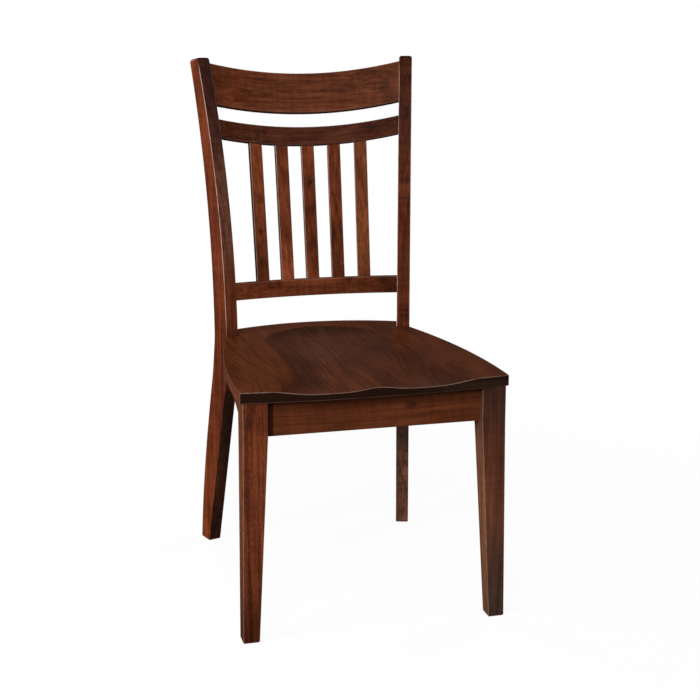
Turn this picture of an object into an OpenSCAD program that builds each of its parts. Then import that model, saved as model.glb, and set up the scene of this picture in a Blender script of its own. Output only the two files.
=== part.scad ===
// Wooden side chair: a saddled board seat, tapered front legs, raked and curved back posts,
// three bowed back rails and five upright slats.
// The floor is Z = 0, the front faces -Y and the chair is the same on both sides of X = 0.
// Left and right are as seen from the front.

/* [Overall] */
// Height of the seat's rim above the floor
seat_h = 457; // [435:1:480]
// Height of the front of each back post's top above the floor
back_h = 998; // [960:1:1040]
// Distance over the outer faces of the two front legs
leg_spread = 476; // [450:1:500]
// Distance over the outer front corners of the two back posts, at seat height
post_spread = 378; // [365:1:395]
// Distance from the front legs' front face to the back posts' outer front corner
seat_depth = 426; // [400:1:450]

/* [Seat] */
// Thickness of the seat board
seat_t = 20; // [18:0.5:24]
// How far the seat's front corners stand out past the legs' outer faces
seat_overhang = 5; // [2:0.5:8]
// How far the front edge bows forward in the middle
front_bow = 16; // [10:1:22]
// How far each side edge bows outward
side_bow = 16; // [8:1:20]
// How far the rear edge bows backward between the posts
rear_bow = 41; // [30:1:46]
// How far the seat reaches behind its notches, along the posts' inner faces
rear_reach = 50; // [44:1:52]
// Depth of the bowl, and of the thigh hollows at the front edge
scoop_depth = 7.5; // [5:0.5:8]
// Depth of the thigh hollows where they end in the bowl
thigh_end_depth = 3; // [2:0.5:4]
// Radius of the bowl at the rear of the seat
bowl_r = 125; // [105:1:130]
// Distance from the bowl's middle to the posts' front corner line
bowl_inset = 74; // [65:1:85]
// Half the width of each thigh hollow at the front edge
thigh_half = 91; // [80:1:96]
// Distance from the seat's middle to each thigh hollow's middle, at the front edge
thigh_x = 84; // [78:1:90]
// Angle that each thigh hollow turns inward on its way to the rear
thigh_toe = 9; // [6:0.5:11]
// Gap between the seat's notches and the posts
notch_gap = 1; // [0.8:0.1:1.5]

/* [Front legs] */
// Width of the square leg beside the aprons
leg_top = 44; // [40:1:48]
// Width of the square leg at the floor
leg_foot = 30; // [24:1:34]
// How far each leg's outer face flares outward below the aprons
leg_flare = 5; // [2:0.5:7]

/* [Aprons] */
// Height of the front, side and rear aprons
apron_h = 65; // [58:1:74]
// Thickness of the aprons
apron_t = 20; // [18:1:22]
// How far the front apron stands back from the legs' front faces
front_setback = 15; // [12:1:16]
// How far each side apron stands in from its leg's outer face
side_setback = 10; // [8:1:14]
// How far the rear apron stands back from the posts' front faces
rear_setback = 20; // [18:1:22]

/* [Back posts] */
// Thickness of the sawn post
post_t = 26; // [23:1:28]
// Angle that each post is turned, so that its front face looks a little inward
post_turn = 17.5; // [15:0.5:20]
// How far the foot stands back from the post's upright stretch
foot_rake = 95; // [80:1:110]
// How far the top leans back from the post's upright stretch
top_rake = 103; // [90:1:115]
// Depth of the post at the floor
foot_depth = 34; // [30:1:40]
// Depth of the post at its knee, below the seat
knee_depth = 59; // [55:1:62]
// Depth of the post at its waist, level with the seat
waist_depth = 52; // [48:1:54]
// Depth of the post at its top
top_depth = 36; // [31:1:38]
// Distance from the seat's rim down to the knee
knee_drop = 69; // [60:1:75]
// Distance from the seat's rim down to the start of the upper curve
bend_drop = 27; // [20:1:30]
// Half the height over which the knee is rounded
knee_soft = 25; // [15:1:30]
// Slope of the sawn top end, down towards the rear
top_slope = 8; // [4:0.5:12]

/* [Back rails] */
// Thickness of the three back rails
rail_t = 18; // [17:0.5:20]
// How far the rails stand back from the posts' front edges
rail_setback = 6; // [5:0.5:7]
// Width of the crest rail
crest_w = 81; // [75:1:90]
// Width of the upper back rail
upper_w = 37; // [33:1:44]
// Width of the lower back rail
lower_w = 34; // [30:1:40]
// Distance from the posts' top down to the crest rail's ends
crest_drop = 12; // [6:1:16]
// Gap between the crest rail and the upper back rail
crest_gap = 30; // [24:0.5:36]
// Gap between the seat's rim and the lower back rail
seat_gap = 68; // [60:1:80]
// How far the crest and upper rails' edges are sawn upward at their ends
smile = 14; // [8:1:18]

/* [Slats] */
// Width of a slat
slat_w = 26; // [22:1:32]
// Thickness of a slat
slat_t = 11; // [9:0.5:12]
// Spacing of the slats along the upper rail
slat_pitch_top = 54.5; // [48:0.5:58]
// Spacing of the slats along the lower rail
slat_pitch_bottom = 52.5; // [46:0.5:56]
// How far each slat end is let into its rail
slat_housing = 8; // [5:0.5:10]

/* [Joints] */
// Length of the rail tenons
tenon_l = 16; // [12:1:18]
// Thickness of the rail tenons
tenon_t = 9; // [7:0.5:10]
// Shoulder above and below each tenon
tenon_shoulder = 7; // [5:0.5:9]
// How far each tenon's root is carried into its rail's shoulder
tenon_root = 4; // [3:0.5:5]
// Clearance round tenons, dowels, slat ends and screws
fit = 0.15; // [0.1:0.05:0.25]
// Diameter of the apron dowels
dowel_d = 8; // [6:0.5:9]
// Length of the apron dowels
dowel_l = 30; // [24:1:32]
// Bevel round each end of a dowel
dowel_ease = 1; // [0.5:0.25:1.5]
// Distance from an apron's upper and lower edges to its dowels
dowel_inset = 17; // [14:1:20]

/* [Corner blocks] */
// Height of the corner blocks
block_h = 32; // [28:1:38]
// Thickness of the corner blocks
block_t = 24; // [22:1:28]
// Distance from a front corner of the apron frame to its block
block_front_offset = 50; // [46:1:54]
// Distance from a rear corner of the apron frame to its block
block_rear_offset = 32; // [30:1:36]
// How much of its block each screw crosses before it enters an apron
block_screw_wood = 18; // [16:1:20]
// Diameter of the screws
screw_d = 4; // [3.5:0.5:5]
// Diameter of the screws' blunted points
screw_tip_d = 0.8; // [0.4:0.1:1.2]
// Width of the cross cut in the screw heads
cross_w = 0.9; // [0.7:0.1:1.2]
// Depth of the cross cut in the screw heads
cross_depth = 1.5; // [1:0.25:2]
// Length of the screws that hold the blocks to the aprons
block_screw_l = 34; // [30:1:36]
// Depth that the seat screws enter the seat
seat_screw_grip = 11; // [9:0.5:12]

/* [Hidden] */
$fn = 96;

// Extra length on cutting shapes
past = 40;
// Number of straight steps along each edge of a post's outline
post_steps = 64;
// Number of sides on the wide circles
fine = 720;

// Heights
under_seat_z = seat_h - seat_t;
apron_z = under_seat_z - apron_h;
seat_corner_x = leg_spread / 2 + seat_overhang;
knee_z = seat_h - knee_drop;
bend_z = seat_h - bend_drop;
top_drop = top_depth * tan(top_slope);

// Back post outline: how far its front edge stands back at height z
knee_lean = foot_rake / knee_z;
function knee_curve(z) = knee_lean * pow(knee_z + knee_soft - z, 2) / (4 * knee_soft);
function front_edge(z) =
    z < knee_z - knee_soft ? knee_lean * (knee_z - z) :
    z < knee_z + knee_soft ? knee_curve(z) :
    z > bend_z ? top_rake * pow((z - bend_z) / (back_h - bend_z), 2) : 0;

// Back post outline: its depth at height z
function lower_depth(z) = knee_depth - (knee_depth - foot_depth) * pow(1 - z / knee_z, 2.5);
function waist_blend(z) = (1 - cos(180 * (z - knee_z) / knee_drop)) / 2;
function upper_depth(z) =
    waist_depth - (waist_depth - top_depth) * pow((z - seat_h) / (back_h - seat_h), 1.4);
function post_depth(z) =
    z < knee_z ? lower_depth(z) :
    z < seat_h ? knee_depth + (waist_depth - knee_depth) * waist_blend(z) : upper_depth(z);
function rear_edge(z) = front_edge(z) + post_depth(z);
rear_top_z = back_h - top_drop;
post_front = [for (i = [0:post_steps]) let (z = back_h * i / post_steps) [front_edge(z), z]];
post_rear = [for (i = [post_steps:-1:0]) let (z = rear_top_z * i / post_steps) [rear_edge(z), z]];

// A bowed rail leaves each post squarely. A rail is [end height, width, thickness, setback, smile].
inner_x = post_spread / 2 - post_t * cos(post_turn);
crest_lean = lean(back_h - crest_drop - crest_w / 2);
crest_end_z = back_h - crest_drop - crest_w * cos(crest_lean) / 2;
upper_end_z = crest_end_z - (crest_w + upper_w) * cos(crest_lean) / 2 - crest_gap;
lower_end_z = seat_h + seat_gap + lower_w / 2;
crest = [crest_end_z, crest_w, rail_t, rail_setback, smile];
upper = [upper_end_z, upper_w, rail_t, rail_setback, smile];
lower = [lower_end_z, lower_w, rail_t, rail_setback, 0];
rear_rail = [apron_z + apron_h / 2, apron_h, apron_t, rear_setback, 0];

// Distances behind the posts' outer front corners, of the posts and of the crest rail
post_reach = max(rear_edge(0), rear_edge(rear_top_z)) * cos(post_turn) + post_t * sin(post_turn);
crest_reach = post_t * sin(post_turn) + rail_u(crest) * cos(post_turn)
    + (bow(crest) + rail_t) * cos(rail_lean(crest)) + (crest_w / 2 - smile) * sin(rail_lean(crest));
rear_extent = max(post_reach, crest_reach);

// Places from front to back, with the middle of the whole depth at Y = 0
leg_y = (front_bow - seat_depth - rear_extent) / 2;
post_y = leg_y + seat_depth;
bowl_y = post_y - bowl_inset;

// Inner face of the right back post: its front corner at seat height, and its line in plan
inner_y = post_y + post_t * sin(post_turn);
function inner_face_x(y) = inner_x + (y - inner_y) * tan(post_turn);

function lean(z) = z > bend_z ? atan(2 * top_rake * (z - bend_z) / pow(back_h - bend_z, 2)) : 0;
function rail_lean(rail) = lean(rail[0]);
function rail_u(rail) = (rail[0] > bend_z ? front_edge(rail[0]) : 0) + rail[3];
function rail_end_x(rail) = inner_x + rail_u(rail) * sin(post_turn);
function rail_end_y(rail) = inner_y + rail_u(rail) * cos(post_turn);
function bow_r(rail) = rail_end_x(rail) / sin(post_turn);
function bow(rail) = bow_r(rail) * (1 - cos(post_turn));
function smile_r(rail) = (pow(rail_end_x(rail), 2) + pow(rail[4], 2)) / (2 * rail[4]);
// Middle of the rail's front face
function rail_mid_y(rail) =
    rail_end_y(rail) + bow(rail) * cos(rail_lean(rail)) - rail[4] * sin(rail_lean(rail));
function rail_mid_z(rail) =
    rail[0] - bow(rail) * sin(rail_lean(rail)) - rail[4] * cos(rail_lean(rail));
// Point inside a rail, half way through its thickness and its width, at a distance x from the middle
function rail_in(rail, x) = sqrt(pow(bow_r(rail) + rail[2] / 2, 2) - x * x) - bow_r(rail);
function rail_up(rail, x) = rail[4] > 0 ? smile_r(rail) - sqrt(pow(smile_r(rail), 2) - x * x) : 0;
function rail_point(rail, x) = [
    x,
    rail_mid_y(rail) + rail_in(rail, x) * cos(rail_lean(rail)) + rail_up(rail, x) * sin(rail_lean(rail)),
    rail_mid_z(rail) - rail_in(rail, x) * sin(rail_lean(rail)) + rail_up(rail, x) * cos(rail_lean(rail))
];
function rail_turn(rail, x) = -asin(x / (bow_r(rail) + rail[2] / 2));

// Side apron: its middle line runs from the leg's rear face to the middle of the post's front face
side_front_x = leg_spread / 2 - side_setback - apron_t / 2;
side_front_y = leg_y + leg_top;
side_rear_x = post_spread / 2 - post_t * cos(post_turn) / 2;
side_rear_y = post_y + post_t * sin(post_turn) / 2;
side_toe = atan((side_front_x - side_rear_x) / (side_rear_y - side_front_y));
side_half = apron_t / 2 / cos(side_toe);
function side_x(y) = side_front_x - (y - side_front_y) * tan(side_toe);

// Corners of the space inside the apron frame, where the corner blocks sit
front_inside_y = leg_y + front_setback + apron_t;
front_corner = [side_x(front_inside_y) - side_half, front_inside_y];
front_half_angle = (90 - side_toe) / 2;
front_block_turn = 135 + side_toe / 2;
rear_inside_y = rail_end_y(rear_rail);
rear_corner = [side_x(rear_inside_y) - side_half, rear_inside_y];
rear_half_angle = (90 + side_toe + post_turn) / 2;
rear_block_turn = 225 + (side_toe - post_turn) / 2;
front_block = [front_corner, front_block_turn, front_half_angle, block_front_offset];
rear_block = [rear_corner, rear_block_turn, rear_half_angle, block_rear_offset];
blocks = [front_block, rear_block];
sides = [-1, 1];
slat_places = [-2, -1, 0, 1, 2];

// Mirrors the right-hand shape to the left where side is negative
module on_side(side) {
    if (side < 0) mirror([1, 0, 0]) children();
    else children();
}

// Post frame: X runs from front to rear along the post's depth, Y runs inward through its thickness
module in_post() {
    translate([post_spread / 2, post_y, 0]) rotate([0, 0, 90 - post_turn]) children();
}

// Upright slab with an outline in X and Z, from y to y + t
module upright(y, t) {
    translate([0, y + t, 0]) rotate([90, 0, 0]) linear_extrude(t) children();
}

// All that lies behind the front edge of the right post, for coping the side apron to it
module behind_post_front() {
    in_post() upright(-past, post_t + 2 * past)
        polygon(concat(post_front, [[rear_extent, back_h], [rear_extent, 0]]));
}

// Space between the inner faces of the two posts
module between_posts() {
    front = inner_y - past;
    rear = rear_extent + inner_y;
    linear_extrude(back_h + past) polygon([
        [-inner_face_x(front), front], [inner_face_x(front), front],
        [inner_face_x(rear), rear], [-inner_face_x(rear), rear]
    ]);
}

// Tenon of a rail in the right post, with extra clearance all round
module tenon(rail, gap = 0) {
    length = tenon_l + gap;
    height = rail[1] - 2 * tenon_shoulder + 2 * gap;
    thick = tenon_t + 2 * gap;
    middle = rail_u(rail) + rail[2] / 2 / cos(rail_lean(rail));
    in_post() translate([middle, post_t - length, rail[0]]) rotate([0, rail_lean(rail), 0])
        translate([-thick / 2, 0, -height / 2]) cube([thick, length + tenon_root, height]);
}

// Rail bent in plan, leaning with the posts, with its edges sawn to a smile
module bowed_rail(rail) {
    reach = rail_end_x(rail) + past;
    high = rail[1] + rail[4] + past;
    thick = rail[2];
    intersection() {
        translate([0, rail_mid_y(rail), rail_mid_z(rail)]) rotate([-rail_lean(rail), 0, 0]) {
            intersection() {
                translate([0, 0, -high]) linear_extrude(2 * high) difference() {
                    translate([0, -bow_r(rail)]) circle(bow_r(rail) + thick, $fn = fine);
                    translate([0, -bow_r(rail)]) circle(bow_r(rail), $fn = fine);
                    translate([-2 * bow_r(rail), -3 * bow_r(rail)])
                        square([4 * bow_r(rail), 2 * bow_r(rail)]);
                }
                upright(-2 * reach, 4 * reach) rail_outline(rail, reach);
            }
        }
        between_posts();
    }
    for (side = sides) on_side(side) tenon(rail);
}

// Outline of a rail seen from the front, square to its face
module rail_outline(rail, reach) {
    width = rail[1];
    if (rail[4] > 0) {
        difference() {
            translate([0, smile_r(rail)]) circle(smile_r(rail) + width / 2, $fn = fine);
            translate([0, smile_r(rail)]) circle(smile_r(rail) - width / 2, $fn = fine);
            translate([-2 * smile_r(rail), smile_r(rail)])
                square([4 * smile_r(rail), 2 * smile_r(rail)]);
        }
    } else {
        translate([-reach, -width / 2]) square([2 * reach, width]);
    }
}

// Slat at place i, counted from the middle, with extra clearance and extra length
module slat(i, gap = 0) {
    from = rail_point(lower, i * slat_pitch_bottom);
    to = rail_point(upper, i * slat_pitch_top);
    turn = (rail_turn(lower, i * slat_pitch_bottom) + rail_turn(upper, i * slat_pitch_top)) / 2;
    way = to - from;
    across = way[0] * cos(turn) + way[1] * sin(turn);
    back = way[1] * cos(turn) - way[0] * sin(turn);
    length = norm(way);
    start = lower_w / 2 - slat_housing - gap;
    finish = length - upper_w / 2 + slat_housing + gap;
    translate(from) rotate([0, 0, turn]) rotate([-atan2(back, way[2]), 0, 0])
        rotate([0, asin(across / length), 0])
            translate([-slat_w / 2 - gap, -slat_t / 2 - gap, start])
                cube([slat_w + 2 * gap, slat_t + 2 * gap, finish - start]);
}

// Dowel with eased ends, its middle at the origin and its length along Y
module dowel(gap = 0) {
    length = dowel_l + 2 * gap;
    wide = dowel_d + 2 * gap;
    narrow = wide - 2 * dowel_ease;
    rotate([90, 0, 0]) translate([0, 0, -length / 2]) {
        cylinder(h = dowel_ease, d1 = narrow, d2 = wide);
        translate([0, 0, dowel_ease]) cylinder(h = length - 2 * dowel_ease, d = wide);
        translate([0, 0, length - dowel_ease]) cylinder(h = dowel_ease, d1 = wide, d2 = narrow);
    }
}

// Two dowels, one above the other, at the heights that the aprons use
module dowel_pair(gap = 0) {
    for (z = [apron_z + dowel_inset, under_seat_z - dowel_inset]) translate([0, 0, z]) dowel(gap);
}

module front_dowels(gap = 0) {
    for (side = sides) on_side(side)
        translate([leg_spread / 2 - leg_top, leg_y + front_setback + apron_t / 2, 0])
            rotate([0, 0, 90]) dowel_pair(gap);
}

module side_front_dowels(gap = 0) {
    for (side = sides) on_side(side)
        translate([side_front_x, side_front_y, 0]) rotate([0, 0, side_toe]) dowel_pair(gap);
}

module side_rear_dowels(gap = 0) {
    for (side = sides) on_side(side)
        translate([side_rear_x, side_rear_y, 0]) rotate([0, 0, (side_toe - post_turn) / 2])
            dowel_pair(gap);
}

// Screw with a countersunk cross head at the origin, its point along +Z
module screw(length, gap = 0) {
    head_d = 2 * screw_d + 2 * gap;
    head_h = screw_d / 2;
    shank_d = screw_d + 2 * gap;
    shank_l = length - screw_d + gap;
    difference() {
        union() {
            if (gap > 0) translate([0, 0, -gap]) cylinder(h = 2 * gap, d = head_d);
            translate([0, 0, gap]) cylinder(h = head_h, d1 = head_d, d2 = shank_d);
            cylinder(h = shank_l, d = shank_d);
            translate([0, 0, shank_l]) cylinder(h = screw_d, d1 = shank_d, d2 = screw_tip_d);
        }
        if (gap == 0) for (angle = [0, 90]) rotate([0, 0, angle])
            cube([screw_d, cross_w, 2 * cross_depth], center = true);
    }
}

// Block frame: the origin is in the frame's corner and X runs into the frame, square to the block
module in_block(block) {
    translate([block[0][0], block[0][1], 0]) rotate([0, 0, block[1]]) children();
}

// Both screws of a block, driven from its inner face into the two aprons
module block_screws(block, gap = 0) {
    inner = block[3] + block_t;
    spread = (inner - block_screw_wood) * tan(block[2]);
    for (way = sides) in_block(block)
        translate([inner, way * spread, under_seat_z - block_h / 2]) rotate([0, -90, 0])
            screw(block_screw_l, gap);
}

module all_block_screws(gap = 0) {
    for (side = sides) on_side(side) for (block = blocks) block_screws(block, gap);
}

// Screws that rise through the blocks into the seat
module all_seat_screws(gap = 0) {
    for (side = sides) on_side(side) for (block = blocks) in_block(block)
        translate([block[3] + block_t / 2, 0, under_seat_z - block_h])
            screw(block_h + seat_screw_grip, gap);
}

// Plan of the space inside the four aprons
module frame_inside() {
    rear = side_rear_y + past;
    intersection() {
        polygon([
            [-side_x(front_inside_y) + side_half, front_inside_y],
            [side_x(front_inside_y) - side_half, front_inside_y],
            [side_x(rear) - side_half, rear], [-side_x(rear) + side_half, rear]
        ]);
        translate([0, rail_mid_y(rear_rail) - bow_r(rear_rail)])
            circle(bow_r(rear_rail), $fn = fine);
    }
}

module corner_block(block) {
    width = 2 * (block[3] + block_t) * tan(block[2]) + past;
    color("#6b3a22") difference() {
        intersection() {
            translate([0, 0, under_seat_z - block_h]) linear_extrude(block_h) frame_inside();
            in_block(block) translate([block[3], -width / 2, under_seat_z - block_h])
                cube([block_t, width, block_h]);
        }
        block_screws(block, fit);
        all_seat_screws(fit);
    }
}

// Plan of the seat before the post notches: four edges, each an arc
module seat_plan() {
    front_r = (pow(seat_corner_x, 2) + pow(front_bow, 2)) / (2 * front_bow);
    rear_x = inner_x + rear_reach * sin(post_turn);
    rear_y = inner_y + rear_reach * cos(post_turn);
    rear_r = (pow(rear_x, 2) + pow(rear_bow, 2)) / (2 * rear_bow);
    intersection() {
        translate([0, leg_y - front_bow + front_r]) circle(front_r, $fn = fine);
        translate([0, rear_y + rear_bow - rear_r]) circle(rear_r, $fn = fine);
        seat_side(-1);
        seat_side(1);
    }
}

// Circle whose arc is the seat's side edge, from its front corner to the post's outer corner
module seat_side(side) {
    run = [post_spread / 2 - seat_corner_x, seat_depth];
    side_r = (pow(norm(run) / 2, 2) + pow(side_bow, 2)) / (2 * side_bow);
    inward = [-run[1], run[0]] / norm(run);
    on_side(side) translate([seat_corner_x, leg_y] + run / 2 + inward * (side_r - side_bow))
        circle(side_r, $fn = fine);
}

// Everything outside and in front of the right post's inner face, widened by the notch gap
module post_notch() {
    in_post() translate([-notch_gap, -past, 0])
        cube([knee_depth + 2 * past, past + post_t + notch_gap, seat_h + past]);
}

// Cutting shape for a thigh hollow, which opens at the front edge and rises towards the bowl
module thigh_hollow() {
    hollow_r = (pow(thigh_half, 2) + pow(scoop_depth, 2)) / (2 * scoop_depth);
    run = bowl_y - leg_y + front_bow;
    rise = atan((scoop_depth - thigh_end_depth) / run);
    translate([thigh_x, leg_y - front_bow, seat_h + hollow_r - scoop_depth])
        rotate([0, 0, thigh_toe]) rotate([rise - 90, 0, 0])
            translate([0, 0, -past]) cylinder(h = run + past, r = hollow_r, $fn = fine);
}

module bowl() {
    round_r = (pow(bowl_r, 2) + pow(scoop_depth, 2)) / (2 * scoop_depth);
    translate([0, bowl_y, seat_h + round_r - scoop_depth]) sphere(round_r, $fn = fine);
}

module seat() {
    color("#5a2f1d") difference() {
        translate([0, 0, under_seat_z]) linear_extrude(seat_t) seat_plan();
        for (side = sides) on_side(side) {
            post_notch();
            thigh_hollow();
        }
        bowl();
        all_seat_screws(fit);
    }
}

// Leg profile: inner edge tapered below the apron, outer edge upright or flared
module leg_profile(flare = 0) {
    polygon(concat(
        [[-flare, 0], [leg_foot - flare, 0], [leg_top, apron_z]],
        [[leg_top, under_seat_z], [0, under_seat_z]],
        flare > 0 ? [[0, apron_z]] : []
    ));
}

module front_leg(side) {
    color("#6e3520") difference() {
        on_side(side) intersection() {
            translate([leg_spread / 2, leg_y, 0]) mirror([1, 0, 0])
                upright(0, leg_top) leg_profile(leg_flare);
            translate([leg_spread / 2 - leg_top, leg_y, 0]) rotate([0, 0, 90])
                mirror([0, 1, 0]) upright(0, leg_top + leg_flare) leg_profile();
        }
        front_dowels(fit);
        side_front_dowels(fit);
    }
}

module back_post(side) {
    color("#7a3b24") difference() {
        on_side(side) in_post() upright(0, post_t) polygon(concat(post_front, post_rear));
        on_side(side) for (rail = [crest, upper, lower, rear_rail]) tenon(rail, fit);
        side_rear_dowels(fit);
    }
}

module front_apron() {
    width = leg_spread - 2 * leg_top;
    color("#5e3220") difference() {
        translate([-width / 2, leg_y + front_setback, apron_z]) cube([width, apron_t, apron_h]);
        front_dowels(fit);
        all_block_screws(fit);
    }
}

module side_apron(side) {
    rear = side_rear_y + past;
    color("#5e3220") difference() {
        on_side(side) difference() {
            translate([0, 0, apron_z]) linear_extrude(apron_h) polygon([
                [side_front_x - side_half, side_front_y], [side_front_x + side_half, side_front_y],
                [side_x(rear) + side_half, rear], [side_x(rear) - side_half, rear]
            ]);
            behind_post_front();
        }
        side_front_dowels(fit);
        side_rear_dowels(fit);
        all_block_screws(fit);
    }
}

module rear_apron() {
    color("#5e3220") difference() {
        bowed_rail(rear_rail);
        all_block_screws(fit);
    }
}

module crest_rail() {
    color("#63351f") bowed_rail(crest);
}

module housed_rail(rail) {
    color("#63351f") difference() {
        bowed_rail(rail);
        for (i = slat_places) slat(i, fit);
    }
}

module wood_slat(i) {
    color("#7f3f22") slat(i);
}

seat();
front_leg(-1);  // front_leg_left
front_leg(1);  // front_leg_right
back_post(-1);  // back_post_left
back_post(1);  // back_post_right
front_apron();
side_apron(-1);  // side_apron_left
side_apron(1);  // side_apron_right
rear_apron();
crest_rail();
housed_rail(upper);  // upper_back_rail
housed_rail(lower);  // lower_back_rail
wood_slat(-2);  // slat_1
wood_slat(-1);  // slat_2
wood_slat(0);  // slat_3
wood_slat(1);  // slat_4
wood_slat(2);  // slat_5
on_side(-1) corner_block(front_block);  // corner_block_front_left
corner_block(front_block);  // corner_block_front_right
on_side(-1) corner_block(rear_block);  // corner_block_rear_left
corner_block(rear_block);  // corner_block_rear_right
color("#b98a5e") front_dowels();  // front_apron_dowels
color("#b98a5e") side_front_dowels();  // side_apron_front_dowels
color("#b98a5e") side_rear_dowels();  // side_apron_rear_dowels
color("silver") all_block_screws();  // corner_block_screws
color("silver") all_seat_screws();  // seat_screws
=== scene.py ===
import math

import bmesh
import bpy
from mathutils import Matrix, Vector


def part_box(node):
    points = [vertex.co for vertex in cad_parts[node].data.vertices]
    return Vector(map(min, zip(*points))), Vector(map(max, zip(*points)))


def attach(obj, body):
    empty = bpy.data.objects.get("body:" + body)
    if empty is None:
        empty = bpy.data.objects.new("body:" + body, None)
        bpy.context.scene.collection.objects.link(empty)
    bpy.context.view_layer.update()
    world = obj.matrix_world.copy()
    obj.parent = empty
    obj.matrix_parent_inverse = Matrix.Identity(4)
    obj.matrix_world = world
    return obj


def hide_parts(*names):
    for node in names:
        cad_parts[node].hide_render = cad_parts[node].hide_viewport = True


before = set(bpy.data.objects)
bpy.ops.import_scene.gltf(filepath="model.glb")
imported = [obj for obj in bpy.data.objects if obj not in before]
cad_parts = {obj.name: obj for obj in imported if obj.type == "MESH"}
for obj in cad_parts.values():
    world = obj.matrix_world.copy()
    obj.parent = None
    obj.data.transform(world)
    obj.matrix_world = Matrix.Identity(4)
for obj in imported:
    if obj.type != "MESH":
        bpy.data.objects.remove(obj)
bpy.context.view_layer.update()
print("frame loaded:", len(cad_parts), "nodes")


# The camera stands a little left of the chair, just above the top of its back

camera = {
    "place": (-0.669, -2.6163, 1.0995),
    "tilt": 77.91,      # degrees up from straight down
    "turn": -14.85,     # degrees, towards the right
    "lens": 74.57,
    "sensor": 36,
    "shift": -0.05,
}


def addCamera():
    bpy.ops.object.camera_add(
        location=camera["place"],
        rotation=(math.radians(camera["tilt"]), 0, math.radians(camera["turn"])),
    )
    view = bpy.context.active_object
    view.data.lens = camera["lens"]
    view.data.sensor_width = camera["sensor"]
    view.data.shift_y = camera["shift"]
    bpy.context.scene.camera = view


addCamera()
print("camera placed")


# Small helpers for node trees

def addNode(tree, kind, **settings):
    node = tree.nodes.new(kind)
    for name, value in settings.items():
        setattr(node, name, value)
    return node


def feed(tree, socket, value):
    if isinstance(value, bpy.types.NodeSocket):
        tree.links.new(value, socket)
    else:
        socket.default_value = value


def maths(tree, operation, *values, clamp=False):
    node = addNode(tree, "ShaderNodeMath", operation=operation, use_clamp=clamp)
    for socket, value in zip(node.inputs, values):
        feed(tree, socket, value)
    return node.outputs[0]


def times(tree, first, *others):
    for other in others:
        first = maths(tree, "MULTIPLY", first, other)
    return first


def plus(tree, first, second, **settings):
    return maths(tree, "ADD", first, second, **settings)


def minus(tree, first, second):
    return maths(tree, "SUBTRACT", first, second)


def vectorMaths(tree, operation, *values):
    node = addNode(tree, "ShaderNodeVectorMath", operation=operation)
    sockets = (node.inputs[0], node.inputs["Scale"]) if operation == "SCALE" else node.inputs
    for socket, value in zip(sockets, values):
        feed(tree, socket, value)
    return node.outputs["Value" if operation in ("DOT_PRODUCT", "LENGTH") else "Vector"]


def noiseNode(tree, vector, stretch, detail):
    # Stretch is the number of features per metre along each axis
    node = addNode(tree, "ShaderNodeTexNoise", noise_dimensions="3D")
    feed(tree, node.inputs["Vector"], vectorMaths(tree, "MULTIPLY", vector, stretch))
    feed(tree, node.inputs["Scale"], 1.0)
    feed(tree, node.inputs["Detail"], detail)
    return node


def noise(tree, vector, stretch, detail=2.0, rough=0.5):
    node = noiseNode(tree, vector, stretch, detail)
    feed(tree, node.inputs["Roughness"], rough)
    return node.outputs["Fac"]


def wander(tree, vector, stretch, reach, detail=2.0):
    # A shift of up to half the reach each way
    cloud = noiseNode(tree, vector, stretch, detail)
    shift = vectorMaths(tree, "SUBTRACT", cloud.outputs["Color"], (0.5, 0.5, 0.5))
    return vectorMaths(tree, "MULTIPLY", shift, (reach, reach, reach))


def remap(tree, value, low, high, outLow=0.0, outHigh=1.0, smooth=True):
    node = addNode(tree, "ShaderNodeMapRange", interpolation_type="SMOOTHSTEP" if smooth else "LINEAR")
    for socket, given in zip(node.inputs, (value, low, high, outLow, outHigh)):
        feed(tree, socket, given)
    return node.outputs["Result"]


def mixColour(tree, factor, first, second, blend="MIX"):
    # The node's sockets for colours share their names with others, so they go by number
    node = addNode(tree, "ShaderNodeMix", data_type="RGBA", blend_type=blend)
    feed(tree, node.inputs["Factor"], factor)
    feed(tree, node.inputs[6], first)
    feed(tree, node.inputs[7], second)
    return node.outputs[2]


colours = ("Color", "Stain", "Tint", "Mark")
vectors = ("Vector", "Grain", "Facing", "Place", "Size")


def newGroup(name, inputs, outputs=("Color",), **defaults):
    # A socket's name gives its kind, and every other one is a plain number
    group = bpy.data.node_groups.new(name, "ShaderNodeTree")
    for way, labels in (("INPUT", inputs), ("OUTPUT", outputs)):
        for label in labels:
            kind = "Color" if label in colours else "Vector" if label in vectors else "Float"
            socket = group.interface.new_socket(label, in_out=way, socket_type=f"NodeSocket{kind}")
            if label in defaults:
                socket.default_value = defaults[label]
    enter = addNode(group, "NodeGroupInput")
    leave = addNode(group, "NodeGroupOutput")
    return group, enter.outputs, leave.inputs


def placeGroup(tree, group, **values):
    node = addNode(tree, "ShaderNodeGroup", node_tree=group)
    for name, value in values.items():
        feed(tree, node.inputs[name], value)
    return node.outputs


def newMaterial(name):
    material = bpy.data.materials.new(name)
    material.use_nodes = True
    tree = material.node_tree
    return material, tree, tree.nodes["Principled BSDF"].inputs


# Stained maple. The grain runs along Z in the vector that comes in.

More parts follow.
